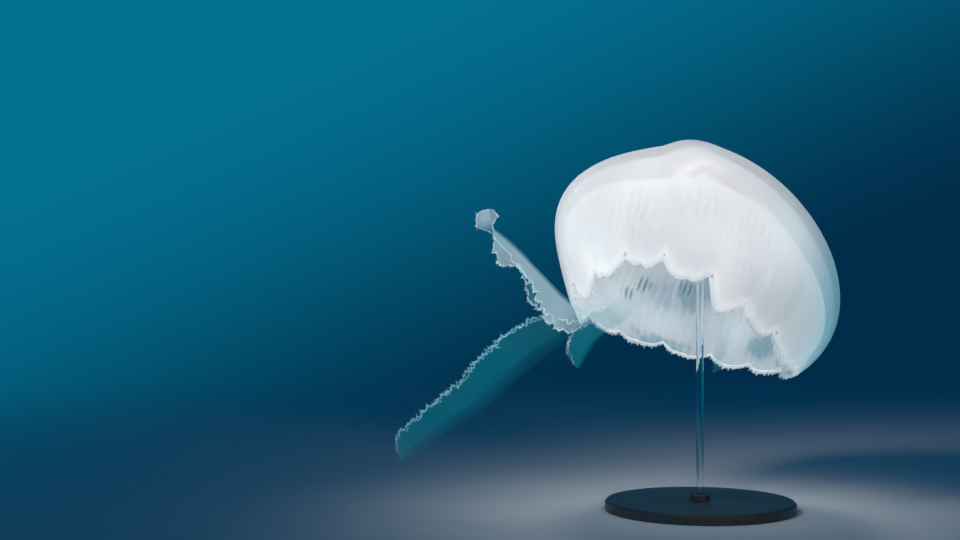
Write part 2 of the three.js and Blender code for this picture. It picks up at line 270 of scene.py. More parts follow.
NOTCHES = [  # phi and depth, in degrees
    (10, 4), (33, 3), (55, 4), (75, 5), (98, 4), (122, 3), (146, 4), (168, 4),
    (196, 5), (219, 4), (238, 10), (255, 7), (274.5, 9), (292, 4), (312.5, 6), (340, 3),
]
NOTCH_WIDTH = 4.5
SAGS = [(161, 3.5, 9), (208, 6, 9), (248, -3, 7), (281, 6.5, 5.5), (337, 4, 9)]  # phi, depth and spread
UP = np.array([0, 0, 1.0])
LAPPET = {"rise": 1.1, "from": 75, "to": 108}
rng = np.random.default_rng(16)
FRAY = rng.uniform(-1, 1, 110)  # small unevenness of the rim


def smooth(low, high, x):
    t = np.clip((x - low) / (high - low), 0, 1)
    return t * t * (3 - 2 * t)


def gauss(x, spread):
    return np.exp(-((x / spread) ** 2))


def eased(values, t):
    """A value between evenly spaced ones, at share t of the way through them."""
    values = np.asarray(values, float)
    at = np.clip(t, 0, 1) * (len(values) - 1)
    low = np.minimum(np.floor(at).astype(int), len(values) - 2)
    return values[low] + (values[low + 1] - values[low]) * smooth(0, 1, at - low)


def around(values, phi):
    """The same, with the values spaced round the axis."""
    return eased([*values, values[0]], phi % 360 / 360)


def circle(angle):
    return np.stack([np.cos(angle), np.sin(angle)], -1)


def direction(theta, phi):
    theta, phi = np.broadcast_arrays(np.asarray(theta, float) * RAD, np.asarray(phi, float) * RAD)
    return np.stack([np.sin(theta) * np.cos(phi), np.sin(theta) * np.sin(phi), np.cos(theta)], -1)


def away(theta, phi, spot_theta, spot_phi):
    """Degrees from a spot on the bell."""
    cosine = (direction(theta, phi) * direction(spot_theta, spot_phi)).sum(-1)
    return np.arccos(np.clip(cosine, -1, 1)) / RAD


def near_spot(theta, phi, spot_theta, spot_phi, spread):
    return gauss(away(theta, phi, spot_theta, spot_phi), spread)


def add_spots(base, theta, phi, spots):
    """base with soft hills on it. A spot is theta, phi, spread and height."""
    return base + sum(height * near_spot(theta, phi, *spot) for *spot, height in spots)


def turn_between(a, b):
    return np.abs((a - b + 180) % 360 - 180)


def lappet_at(phi):
    """Where phi lies between the two notches around it, from 0 to 1."""
    edges = [at for at, _ in NOTCHES] + [NOTCHES[0][0] + 360]
    return np.interp((phi - edges[0]) % 360 + edges[0], edges, range(len(edges))) % 1


def outer_radius(theta, phi):
    side = np.cos(phi * RAD) * np.sin(theta * RAD)
    peak = SHOULDER["theta"] + SHOULDER_SLANT["theta"] * side
    spread = SHOULDER["spread"] + SHOULDER_SLANT["spread"] * side
    r = RADIUS + (SHOULDER["rise"] + SHOULDER_SLANT["rise"] * side) * gauss(theta - peak, spread)
    lappet = LAPPET["rise"] * np.sin(np.pi * lappet_at(phi)) * smooth(LAPPET["from"], LAPPET["to"], theta)
    return add_spots(r, theta, phi, LUMPS) + lappet


def jelly_depth(theta, phi):
    shift = JELLY["slant"] * np.cos(phi * RAD) * np.sin(theta * RAD)
    thin = smooth(JELLY["thin_from"] + shift, JELLY["thin_to"] + shift, theta)
    hump = HUMP["height"] * near_spot(theta, phi, *STOMACH, HUMP["spread"])
    return JELLY["top"] + (JELLY["edge"] - JELLY["top"]) * thin - hump


def pocket_depth(theta, phi):
    """How far the lining hangs below the jelly, round the stomach and at the clear edge."""
    around_stomach = 1 - smooth(POCKET["whole"], POCKET["gone"], away(theta, phi, *STOMACH))
    return POCKET["depth"] * around_stomach + POCKET["clear_edge"] * near_spot(theta, phi, *CLEAR_EDGE)


def in_front(phi):
    """1 at the front of the bell, where the rim is drawn in most, and 0 at the back."""
    return gauss(turn_between(phi, FRONT["phi"]), FRONT["spread"])


def margin_theta(phi):
    theta = around(MARGIN, phi) + (0.35 + 0.75 * in_front(phi)) * around(FRAY, phi)
    for at, depth in NOTCHES:
        theta = theta - depth * np.exp(-turn_between(phi, at) / NOTCH_WIDTH)
    for at, sag, spread in SAGS:
        theta = theta + sag * gauss(turn_between(phi, at), spread)
    return theta


def thinned(theta, phi, loss):
    """1 over most of the bell, and less by loss at the margin, where every layer thins."""
    return 1 - loss * smooth(margin_theta(phi) - 12, margin_theta(phi) - 1, theta)


def in_place(points):
    """From the bell's own millimetres to the frame's metres."""
    return np.asarray(points) * MM @ TURN.T + CENTRE


edge = margin_theta(np.arange(0, 360, 1.0))
print("the margin hangs between", round(edge.min()), "and", round(edge.max()), "degrees from the apex")

# %% [markdown]
# From a grid to a mesh
#
# Each layer is a grid of points: rows run from the apex to the margin and back up the inside, columns go round. A
# Solidify modifier would give it one even thickness, and jelly isn't even, so both sides are in the grid. These
# functions turn the faces outwards, lay the map out flat and give each vertex its numbers for the shader, such as how
# cloudy the jelly is there.


# %% Grid to mesh
TORN = 0.09
SPECK = 0.0004


def read(things, key):
    numbers = np.zeros(len(things), np.int32)
    things.foreach_get(key, numbers)
    return numbers


def lay_flat(mesh, flat):
    """Writes the map. A face that would stretch between two islands shrinks to a speck of the first."""
    starts, sizes = read(mesh.polygons, "loop_start"), read(mesh.polygons, "loop_total")
    uv = np.asarray(flat, float)[read(mesh.loops, "vertex_index")]
    span = np.maximum.reduceat(uv, starts) - np.minimum.reduceat(uv, starts)
    torn = np.repeat(span.max(1) > TORN, sizes)
    speck = np.repeat(uv[starts], sizes, 0) + SPECK * circle(np.arange(len(uv)) * 1.7)
    uv = np.where(torn[:, None], speck, uv)
    layer = mesh.uv_layers.new(name="OFBake")
    layer.data.foreach_set("uv", uv.astype(np.float32).ravel())


def add_mesh(name, points, faces, looks, flat=None):
    """A smooth closed mesh with its faces outwards. looks are its numbers for the shader, flat is its map."""
    points = np.asarray(points, float)
    a, b, c = (points[[face[k] for face in faces]] for k in range(3))
    if (a * np.cross(b, c)).sum() < 0:
        faces = [tuple(reversed(face)) for face in faces]
    mesh = bpy.data.meshes.new(name)
    mesh.from_pydata(points.tolist(), [], faces)
    for key, numbers in looks.items():
        layer = mesh.attributes.new(key, "FLOAT", "POINT")
        layer.data.foreach_set("value", np.asarray(numbers, np.float32).ravel())
    if flat is not None:
        lay_flat(mesh, flat)
    mesh.polygons.foreach_set("use_smooth", [True] * len(mesh.polygons))
    return put(name, mesh)


def grid_faces(columns, rows, wrap, shut=False):
    """Quads over a grid whose vertices are numbered column by column. wrap joins the columns, shut the rows."""
    faces = []
    for i in range(columns if wrap else columns - 1):
        near, far = i * rows, (i + 1) % columns * rows
        for j in range(rows if shut else rows - 1):
            k = (j + 1) % rows
            faces.append((near + j, far + j, far + k, near + k))
    return faces


def both_sides(grid):
    """The numbers of one side of a sheet, for both. The other side's rows run backwards."""
    return np.concatenate([grid, grid[:, ::-1]], 1)


def vase(name, rings, looks, flat=None):
    """A closed skin from rings[column, row]: the first row and the last each shrink to a point."""
    columns, rows = rings.shape[:2]
    inner = rows - 2
    first, last = columns * inner, columns * inner + 1
    faces = grid_faces(columns, inner, True)
    for i in range(columns):
        near, far = i * inner, (i + 1) % columns * inner
        faces += [(first, far, near), (last, near + inner - 1, far + inner - 1)]

    def ends(grid):
        return np.concatenate([grid[:, 1:-1].reshape(-1, *grid.shape[2:]), grid[:1, 0], grid[:1, -1]])

    looks = {key: ends(np.broadcast_to(grid, (columns, rows))) for key, grid in looks.items()}
    return add_mesh(name, ends(rings), faces, looks, None if flat is None else ends(flat))


def dress(piece, finish, slot, *nodes):
    """Gives a piece its finish and its place in the frame."""
    piece.data.materials.append(finish.material)
    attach(piece, "root")
    if nodes:
        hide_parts(*nodes)
    print(piece.name, "has", len(piece.data.polygons), "faces")


# %% [markdown]
# Finishes of the soft parts
#
# Jelly scatters a little light all through its depth. A true volume would be slow and would not travel with the
# model, so each skin is a part-clear surface, and the eye adds them up. A faint glow stands for the light that the
# flesh passes on inside.


# %% Jelly, rim, gonads, arms and tentacles
BLACK = (0.0, 0.0, 0.0)


def milk(name, tint, shade, deep=(0.3, 0.6, 0.7), roughness=0.5, glow=0.28):
    """A soft finish with faint blots of a second tint. The mesh's "cloud" says how much it covers, and its "teal" how
    much of the water's colour it takes."""
    finish = Finish(name, Roughness=roughness, IOR=1.34, Specular_IOR_Level=0.35, Emission_Strength=glow)
    blots = finish.noise(0.03, 3.0).between(0.35, 0.7)
    colour = finish.blend(finish.attribute("teal").clamp(), finish.blend(blots, tint, shade), deep)
    finish.set(Base_Color=colour, Emission_Color=colour, Alpha=finish.attribute("cloud").clamp())
    finish.set(Normal=finish.bump(finish.noise(0.003, 2.0), 0.0003))
    finish.colour = colour
    return finish


jelly = milk("clear_jelly", (0.96, 0.94, 0.925), (0.93, 0.915, 0.905), (0.28, 0.78, 0.90), 0.32, 0.52)
mottle = jelly.noise(0.012, 4.0, 0.62, 0.9)
folds = sine(jelly.turn_round_bell() * 112 + jelly.noise(0.030, 1.0) * 10) * 0.5 + 0.5
folds = folds * jelly.noise(0.018, 1.0).between(0.4, 0.56)
fold_bump_and_shade = (folds * 0.85 + mottle.between(0.4, 0.6) * 0.2) * jelly.attribute("gather")
# The folds are painted a shaded grey-blue as well as bumped.
tone = jelly.blend(fold_bump_and_shade * 0.5, jelly.colour, (0.68, 0.74, 0.79))
# The jelly's glow follows a number painted on each vertex: painted light where it is high, painted shade where it is
# low.
jelly.set(Base_Color=tone, Emission_Color=jelly.blend(jelly.attribute("lit").clamp(), BLACK, tone))
jelly.set(Normal=jelly.bump(mottle * 0.4 + fold_bump_and_shade, 0.0010))
roll_white = milk("margin_white", (0.97, 0.97, 0.97), (0.93, 0.945, 0.95))
gonad_cream = milk("gonad_cream", (0.80, 0.66, 0.69), (0.70, 0.54, 0.60), glow=0.1)
arm_jelly = milk("arm_jelly", (0.74, 0.88, 0.93), (0.62, 0.80, 0.86), (0.01, 0.36, 0.43), 0.35, 0.37)
frill_white = milk("frill_white", (0.84, 0.94, 0.97), (0.74, 0.88, 0.92), (0.30, 0.62, 0.68), 0.5, 0.36)
frill_clear = milk("frill_clear", (0.42, 0.80, 0.88), (0.34, 0.72, 0.80), (0.30, 0.62, 0.68), 0.5, 0.36)
tentacle_white = milk("tentacle_white", (0.93, 0.94, 0.95), (0.86, 0.90, 0.92), (0.12, 0.50, 0.56), 0.5, 0.22)

# %% [markdown]
# The clear bell
#
# Eight lobes of clear jelly would show every joint, so one skin closes over the crown and the lobes of the frame. It
# runs from the apex down the outside, over a rounded lip and up the inside to the stomach. The jelly is thick at the
# top, thin at the margin and creased above each notch. It is cloudiest on the trailing side and clearest where the
# bell leads.

# %% The bell's jelly
COLUMNS = 384
LIP = 7  # rows over the lip
ring_phi = np.arange(COLUMNS) * 360 / COLUMNS


def creases(theta, phi):
    """Folds that run up from each notch, in millimetres."""
    height = 0
    for at, depth in NOTCHES:
        turn = (phi - at + 180) % 360 - 180
        fold = -0.17 * gauss(turn, 2.6) + 0.08 * gauss(turn - 6, 3) + 0.08 * gauss(turn + 6, 3)
        height = height + depth * fold * smooth(104 - 2.2 * depth, 112 - 0.6 * depth, theta)
    return height


def bell_skin(name, rows, depth, thickness, looks, reach=0.0, relief=None):
    """A skin from the apex to the margin and back up, depth under the bell's surface."""
    phi = ring_phi[:, None]
    last = margin_theta(phi) + reach
    theta = np.linspace(0, 1, rows)[None] * last
    top = outer_radius(theta, phi) - depth(theta, phi) + creases(theta, phi)
    if relief is not None:
        top = top + relief(theta, phi)
    under = top - thickness(theta, phi)
    arc = np.linspace(0, math.pi, LIP + 2)[None, 1:-1]
    half, middle = (top[:, -1:] - under[:, -1:]) / 2, (top[:, -1:] + under[:, -1:]) / 2
    thetas = np.concatenate([theta, last + np.sin(arc) * half / middle / RAD, theta[:, ::-1]], 1)
    radii = np.concatenate([top, middle + np.cos(arc) * half, under[:, ::-1]], 1)
    inside = (np.arange(thetas.shape[1]) > rows + LIP // 2)[None]
    rings = in_place(direction(thetas, phi) * radii[..., None])
    flat = np.where(inside[..., None], (0.75, 0.25), (0.25, 0.25)) + thetas[..., None] / 140 * 0.23 * circle(phi * RAD)
    return vase(name, rings, looks(thetas, phi, inside), flat)


# theta, phi and spread of the places where the squeezed jelly shows its folds, as bumps and as painted shade
GATHERS = [(91, 242, 8), (83, 263, 6), (92, 285, 9), (102, 297, 8), (86, 60, 14), (84, 130, 14)]
# the same with a strength: where the jelly's glow paints more light, or paints shade, and where it is more cloudy, or
# less
PAINTED_LIGHT_SPOTS = [
    (109, 223, 11, 0.34), (94, 198, 14, 0.2), (42, 247, 18, 0.45), (75, 307, 16, 0.25),
    (109, 314, 18, -0.2), (109, 293, 12, -0.18), (94, 254, 16, -0.2), (81, 223, 9, -0.25), (107, 268, 8, -0.12),
]
CLOUDS = [
    (15, 180, 46, 0.08), (92, 195, 30, 0.26), (106, 228, 13, 0.3),
    (*CLEAR_SIDE, -0.12), (*CLEAR_EDGE, -0.24), (*OVER_STOMACH, -0.20),
]


def patches(theta, phi, spots):
    """1 at the middle of each spot of a list, fading out over its spread."""
    return np.max([near_spot(theta, phi, *spot) for spot in spots], 0)


def painted_jelly_light(theta, phi):
    """How strongly the jelly glows: painted light, less where a spot paints shade. A painted highlight runs along the
    drawn-in rim in front.
    """
    rim = 0.12 * gauss(theta - margin_theta(phi) + 2.5, 2.5) * in_front(phi)
    return add_spots(0.5 + rim, theta, phi, PAINTED_LIGHT_SPOTS)


def way_round(theta, phi):
    unit = direction(theta, phi)
    return {"side_x": unit[..., 0], "side_y": unit[..., 1]}


def jelly_looks(theta, phi, inside):
    stomach = 0.10 + 0.05 * near_spot(theta, phi, *STOMACH, 22)
    return {
        "cloud": np.where(inside, stomach, add_spots(0.46, theta, phi, CLOUDS)),
        "teal": 0.05 + 0.95 * near_spot(theta, phi, *CLEAR_SIDE),
        "lit": painted_jelly_light(theta, phi),
        "gather": np.where(inside, 0, 0.06 + 0.94 * patches(theta, phi, GATHERS)),
        **way_round(theta, phi),
    }


bell = bell_skin(
    "bell_jelly",
    130,
    lambda theta, phi: 0,
    lambda theta, phi: jelly_depth(theta, phi) * thinned(theta, phi, 0.62) - 0.2,
    jelly_looks,
)
dress(bell, jelly, "jelly", "bell_crown", *[f"bell_lobe_{i}" for i in range(1, 9)])

# %% [markdown]
# Cloud in the jelly
#
# Between the outside and the lining the jelly is faintly cloudy. More cover on the outside would hide what lies under
# it, so one thin skin a third of the way down stands for the cloud. It makes the bell's outline glow more than its
# middle.


# %% The cloudy layer
HAZE_CLOUDS = [(30, 180, 40, 0.06), (*CLEAR_SIDE, -0.13), (*CLEAR_EDGE, -0.17), (*OVER_STOMACH, -0.22)]


def haze_looks(theta, phi, inside):
    cover = add_spots(0.20, theta, phi, HAZE_CLOUDS).clip(0.03)
    return {"cloud": cover, "teal": near_spot(theta, phi, *CLEAR_SIDE), "lit": painted_jelly_light(theta, phi)}


haze = bell_skin(
    "bell_haze",
    70,
    lambda theta, phi: 0.35 * jelly_depth(theta, phi) * thinned(theta, phi, 0.5),
    lambda theta, phi: 0.4,
    haze_looks,
    reach=-3,
)
dress(haze, jelly, "jelly")

# %% [markdown]
# The lining
#
# Under the jelly lies the milk-white sheet of muscle that pulls the bell in. It gathers in pleats where it is
# squeezed. The broad ones are in the mesh. The fine ones, and the canals that branch towards the margin, would need
# millions of faces, so the shader draws them from each spot's place on the bell. It also paints shade into the fine
# pleats, on the inside face, in thin windows and in slits, and its glow paints light.

# %% The lining's shape
# theta, phi and spread of the pleats, their height, and how many would go round the bell
PLEATS = [
    (89, 239, 10, 0.8, 110), (76, 288, 14, 0.7, 84), (94, 304, 15, 0.7, 96), (78, 30, 26, 0.6, 90),
    (76, 150, 28, 0.6, 84),
]
# theta, phi and spread of places where the lining is thin and painted a dark shade, where it is painted in shade, where
# dark slits of painted shade are drawn, and where its glow paints pools of light
SHADED_WINDOWS = [(79, 87, 8), (85, 91, 8), (101.5, 51, 8), (95.5, 48, 4)]
SHADES = [(87, 103, 11)]
SHADE_SLITS = [(93, 119, 3.6), (86.5, 113, 4), (81, 94, 5)]
PAINTED_LIGHT_POOLS = [(101, 104, 13), (96, 65, 12), (94, 38, 8), (98, 122, 14), (108, 138, 15), (112, 160, 16)]
OUTSIDE_GLOW = 0.27


def pleats(theta, phi):
    height = 0.35 * np.sin(16 * phi * RAD + 2 * np.sin(theta * 6 * RAD)) * smooth(40, 80, theta)
    for *spot, fold, count in PLEATS:
        wander = 1.2 * np.sin(theta * 4 * RAD + spot[1])
        height = height + fold * near_spot(theta, phi, *spot) * np.sin(count * phi * RAD + wander)
    return height


def lining_looks(theta, phi, inside):
    # a band along the far margin, thinned and painted in shade along with the windows
    hem = 0.6 * smooth(103, 110, theta) * gauss(phi - 100, 24)
    window = np.max([patches(theta, phi, SHADED_WINDOWS), 0.5 * patches(theta, phi, SHADES), hem], 0)
    thin = 0.55 * window + 0.22 * near_spot(theta, phi, 100, 318, 26)
    # The inside's glow is painted light: brighter in the pools, dimmer in the painted shade of the windows.
    glow = 0.05 + 0.2 * patches(theta, phi, PAINTED_LIGHT_POOLS) - 0.05 * window
    return {
        "cloud": np.where(inside, 0.55 - 0.2 * thin, 0.95 - thin),
        "window": window,
        "slit": patches(theta, phi, SHADE_SLITS),
        "glow": np.where(inside, glow, OUTSIDE_GLOW),
        "theta": theta,
        **way_round(theta, phi),
    }


sheet = bell_skin(
    "bell_lining",
    170,
    lambda theta, phi: (jelly_depth(theta, phi) + 0.6) * thinned(theta, phi, 0.55) + pocket_depth(theta, phi),
    lambda theta, phi: 1.9 * thinned(theta, phi, 0.5),
    lining_looks,
    reach=-0.6,
    relief=pleats,
)

# %% The lining's finish
lining = Finish("white_lining", Roughness=0.55, IOR=1.34, Specular_IOR_Level=0.3, Emission_Strength=1.0)
theta, window, slit, glow, cloud = (lining.attribute(name) for name in ("theta", "window", "slit", "glow", "cloud"))
turn = lining.turn_round_bell()
wander = lining.noise(0.020, 2.0) * 2.2
fine = sine(turn * 96 + wander * 3) * 0.5 + 0.5
ragged_shade = (window + lining.noise(0.011, 4.0) * 0.9 + fine * 0.12 - 0.5).between(0.25, 0.75)
branch = theta.between(72, 100)
trunk = (1 - (unsigned(sine(turn * 8 + wander)) * 5).clamp()) * (1 - branch)
twigs = (1 - (unsigned(sine(turn * 24 + wander)) * 2.4).clamp()) * branch
canals = (trunk + twigs).clamp() * theta.between(34, 46)
speckle = lining.noise(0.0045, 3.0, 0.6, 0.6)
blots = lining.noise(0.028, 3.0).between(0.38, 0.68)
colour = lining.blend(blots, (0.95, 0.935, 0.93), (0.88, 0.89, 0.90))
colour = lining.blend(canals * 0.6, colour, (0.985, 0.985, 0.985))
# The inside face is painted a cool blue, for the shade inside the bell.
inside = 1 - glow.between(OUTSIDE_GLOW - 0.02, OUTSIDE_GLOW)
colour = lining.blend(inside * 0.5, colour, (0.67, 0.88, 0.97))
# The fine pleats' grooves are painted a shaded grey.
colour = lining.blend(fine * 0.22 * theta.between(45, 70), colour, (0.74, 0.79, 0.82))
# The thin windows are painted a dark, shaded teal with ragged edges.
colour = lining.blend(ragged_shade * 0.8, colour, (0.30, 0.56, 0.66))
# The slits are dark lines of painted shade.
gaps = sine(turn * 144 + wander + speckle * 2).between(-0.1, 0.9) * slit.between(0.2, 0.8)
colour = lining.blend(gaps * 0.75, colour, (0.13, 0.27, 0.35))
# The glow paints light into the lining: evenly on the outside, and weakly inside, in painted pools.
lining.set(Base_Color=colour, Emission_Color=lining.blend(glow, BLACK, colour))
lining.set(Alpha=(cloud + gaps * 0.25).clamp(), Normal=lining.bump(speckle + fine * 0.35 + canals * 0.5, 0.0011))
dress(sheet, lining, "lining", "subumbrella")

# %% [markdown]
# Tubes along a path
#
# Gonads, tentacles, sense organs and the fingers of the frills are soft tubes. As separate curves they would be
# thousands of objects, so one function makes all of a kind as one mesh.


# %% Many tubes in one mesh
PATCH = 0.0015  # how far a tube's patch of the map reaches from its root


def unit(vectors):
    return vectors / (np.linalg.norm(vectors, axis=-1, keepdims=True) + 1e-12)


def tubes(name, paths, radii, sides, cloud, roots=None):
    """Closed tubes along paths[tube, point] with radii[tube, point]. roots is each tube's place on the map."""
    count, steps = paths.shape[:2]
    along = unit(np.gradient(paths, axis=1))
    guide = np.cross(along[:, :1], (0.37, -0.81, 0.45))
    side = unit(guide - along * (guide * along).sum(2, keepdims=True))
    up = np.cross(along, side)
    turn = np.arange(sides) * 2 * math.pi / sides
    ring = side[:, :, None] * np.cos(turn)[:, None] + up[:, :, None] * np.sin(turn)[:, None]
    body = (paths[:, :, None] + ring * radii[:, :, None, None]).reshape(count, steps * sides, 3)
    points = np.concatenate([body, paths[:, :1], paths[:, -1:]], 1)
    stride = steps * sides + 2
    one = []
    for k in range(sides):
        after = (k + 1) % sides
        for j in range(steps - 1):
            near, far = j * sides, (j + 1) * sides
            one.append((near + k, near + after, far + after, far + k))
        last = (steps - 1) * sides
        one.append((stride - 2, after, k))
        one.append((stride - 1, last + k, last + after))
    faces = [tuple(i + t * stride for i in face) for t in range(count) for face in one]
    cloud = np.broadcast_to(cloud, (count, steps))
    cloud = np.concatenate([np.repeat(cloud, sides, 1), cloud[:, :1], cloud[:, -1:]], 1)
    flat = None
    if roots is not None:
        patch = PATCH * circle(np.arange(stride) * 2.4) * np.sqrt(np.arange(stride) / stride)[:, None]
        flat = (roots[:, None] + patch[None]).reshape(-1, 2)
    return add_mesh(name, points.reshape(-1, 3), faces, {"cloud": cloud}, flat)


# %% [markdown]
# The margin's roll
#
# The rim is rolled and opaque, the brightest line on the animal, and the pulse has pulled it thick in front. A
# bevelled curve would twist at its sharp turns, so an oval is set round every point of the rim instead, through each
# notch and lappet.


# %% The margin's roll
def margin_point(phi, theta_back, depth):
    """A point theta_back degrees up from the margin and depth under the surface."""
    theta = margin_theta(phi) - theta_back
    return direction(theta, phi) * (outer_radius(theta, phi) - depth + creases(theta, phi))[:, None]


ROLL_SIDES = 12
roll_phi = np.arange(0, 360, 0.4)
front = in_front(roll_phi)
beads = 0.12 * np.sin(roll_phi * RAD * 61) * front + 0.3 * np.sin(roll_phi * RAD * 88) * gauss(roll_phi - 100, 32)
tall = (1.1 + 2.6 * front + 1.0 * gauss(turn_between(roll_phi, 54), 20)) * (1 + beads)
deep = 0.95 + 0.85 * front
line = margin_point(roll_phi, tall * 0.42, deep * (0.75 + 0.3 * front))  # so that the roll covers the rim
along = unit(np.roll(line, -1, 0) - np.roll(line, 1, 0))
outwards = unit(line)
down = unit(np.cross(along, outwards))
outwards = np.cross(down, along)
turn = np.arange(ROLL_SIDES) * 2 * math.pi / ROLL_SIDES
oval = line[:, None] + outwards[:, None] * (np.cos(turn)[:, None] * deep[:, None, None])
oval = oval + down[:, None] * (np.sin(turn)[:, None] * tall[:, None, None])
faces = grid_faces(len(roll_phi), ROLL_SIDES, True, True)
looks = {"cloud": np.repeat(0.75 + 0.10 * front, ROLL_SIDES)}
dress(add_mesh("margin_roll", in_place(oval.reshape(-1, 3)), faces, looks), roll_white, "tentacle")

# %% [markdown]
# The flap under the roll
#
# Below the roll hangs the velarium, a clear flap that steers the jet of water. Cloth could be simulated, but the flap
# is only a few rows deep, so each row is bent a little further inwards than the last. It starts inside the rim and is
# longest where the bell leads.

# %% The flap
FLAP = {"lengths": [16, 5, 3, 9, 5, 4, 4, 6], "rows": 14, "thickness": 0.35}


def hanging(bend, inwards):
    """The way that points down where bend is 0 and inwards at a quarter turn."""
    return np.sin(bend)[..., None] * inwards - np.cos(bend)[..., None] * UP


flap_phi = np.arange(0, 360, 0.5)[:, None]
share = np.linspace(0, 1, FLAP["rows"])[None]
reach = around(FLAP["lengths"], flap_phi) * (0.45 + 0.55 * np.sin(np.pi * lappet_at(flap_phi)) ** 0.7)
bend = 0.2 + 1.5 * share + 0.8 * gauss(turn_between(flap_phi, 5), 20) * share
inwards = -direction(90, flap_phi)
start = margin_point(flap_phi[:, 0], 0.8, 1.5)[:, None]
middle = start + np.cumsum(hanging(bend, inwards) * (reach / FLAP["rows"])[..., None], 1)
normal = hanging(bend + math.pi / 2, inwards)
middle = middle + normal * 0.5 * share[..., None] * np.sin(flap_phi * RAD * 48)[..., None]
half = FLAP["thickness"] / 2
loop = np.concatenate([middle - normal * half, (middle + normal * half)[:, ::-1]], 1)
hem = smooth(0.8, 1, share) + 0 * flap_phi
looks = {"cloud": both_sides(0.16 + 0.30 * hem), "teal": both_sides(0.75 - 0.5 * hem)}
faces = grid_faces(len(flap_phi), 2 * FLAP["rows"], True, True)
dress(add_mesh("margin_flap", in_place(loop.reshape(-1, 3)), faces, looks), tentacle_white, "tentacle")

# %% [markdown]
# Tentacles
#
# Several hundred short tentacles hang from the margin, with bead-like swellings and a slight curl. Hair would be
# quicker to make but has no faces of its own, so each is a thin tube. At the back they show as a beaded edge. In
# front the pulse has pulled them in.

# %% Tentacles
TENTACLES = 760
STEPS = 12
LENGTHS = [2, 4, 4, 4, 5, 7, 9, 5]  # millimetres, every 45 degrees round the margin
phi = (np.arange(TENTACLES) + rng.uniform(-0.4, 0.4, TENTACLES)) * 360 / TENTACLES
front = in_front(phi)
start = margin_point(phi, 0.2, 1.6 + 1.2 * front)
inwards = -direction(90, phi)
length = around(LENGTHS, phi) * rng.uniform(0.6, 1.3, TENTACLES)
lean = rng.uniform(0.1, 0.6, TENTACLES) + 0.25 * front
curl = rng.uniform(0.0, 0.9, TENTACLES) * (1 - 0.5 * front)
sway = rng.normal(0, 0.22, TENTACLES)
s = np.linspace(0, 1, STEPS)[None]
aside = (sway[:, None] * s)[..., None] * np.cross(UP, inwards)[:, None]
step = hanging(lean[:, None] + curl[:, None] * s, inwards[:, None]) + aside
lines = in_place(start[:, None] + np.cumsum(step * (length[:, None, None] / STEPS), 1))
front = front[:, None]
beads = 1 + 0.25 * np.sin(s * (20 + 20 * front) + rng.uniform(0, 6, (TENTACLES, 1)))
thick = (0.52 - 0.16 * front) * (1 - 0.5 * s) * beads * rng.uniform(0.8, 1.2, (TENTACLES, 1)) * MM
cover = 0.75 - 0.47 * front - (0.2 + 0.05 * front) * s
curtain = tubes("tentacles", lines, thick, 6, cover, 0.5 + 0.45 * circle(phi * RAD))
dress(curtain, tentacle_white, "tentacle", *[f"tentacles_{i}" for i in range(1, 9)])

# %% [markdown]
# Sense organs
#
# A speck sits in every other notch: the rhopalia, with which the animal tells up from down. A ball would be too
# short, as they hang a little, so each is a tube with round ends.

# %% Rhopalia
speck_phi = np.array([at for at, _ in NOTCHES[::2]], float)
base = margin_point(speck_phi, 0.0, 1.0)
k = np.linspace(0, 1, 7)[None, :, None]
lines = in_place(base[:, None] + unit(base)[:, None] * 1.2 - UP * (k * 2.4 - 0.6))
round_shape = np.sqrt(np.clip(1 - (2 * k[..., 0] - 1) ** 2, 0.05, 1))
amber = milk("sense_organ_amber", (0.86, 0.66, 0.50), (0.82, 0.58, 0.42), roughness=0.4, glow=0.05)
specks = tubes("rhopalia", lines, 0.75 * MM * round_shape, 8, 0.8)
dress(specks, amber, "tentacle")

# %% [markdown]
# The stomach's horseshoes
#
# A moon jelly is known by four horseshoes, the gonads, which lie in the stomach's pocket between jelly and lining. A
# bent cylinder would look too even. Each is gathered in small folds, so the tube's thickness is waved along its
# length.

# %% Gonads
GONAD = {"offset": 17, "ring": 10, "radius": 2.2, "opening": 80, "steps": 90}
STOMACH_TURN = np.array(Vector(UP).rotation_difference(Vector(direction(*STOMACH))).to_matrix())


def horseshoe(index):
    centre = direction(GONAD["offset"], 45 + 90 * index)
    east = unit(np.cross(UP, centre))
    inward = -np.cross(centre, east)
    half = 180 - GONAD["opening"] / 2
    a = (180 + np.linspace(-half, half, GONAD["steps"])) * RAD
    ring = math.sin(GONAD["ring"] * RAD) * (np.cos(a)[:, None] * inward + np.sin(a)[:, None] * east)
    ways = unit((math.cos(GONAD["ring"] * RAD) * centre + ring) @ STOMACH_TURN.T)
    theta, phi = np.arccos(ways[:, 2]) / RAD, np.arctan2(ways[:, 1], ways[:, 0]) / RAD
    return ways * (outer_radius(theta, phi) - jelly_depth(theta, phi) - 4.6)[:, None]


s = np.linspace(0, 1, GONAD["steps"])[None]
folds = 1 + 0.25 * np.sin(s * 75 + np.arange(4)[:, None]) + 0.1 * np.sin(s * 190)
shut = np.sqrt(np.clip(1 - (2 * s - 1) ** 8, 0.04, 1))
lines = in_place(np.stack([horseshoe(i) for i in range(4)]))
gonads = tubes("gonads", lines, GONAD["radius"] * folds * shut * MM, 14, 0.96)
dress(gonads, gonad_cream, "gonad", *[f"gonad_{i}" for i in range(1, 5)])

# %% [markdown]
# The oral arms
#
# Each arm is a long leaf folded along its midrib, with two lips whose edges are longer than the leaf itself, so they
# ruffle. A bump would leave the outline straight, so the ruffle is in the mesh and grows towards the edge, in several
# wavelengths. Away from the edge the leaf is nearly clear. The upper arm is the thickest, and so the whitest.

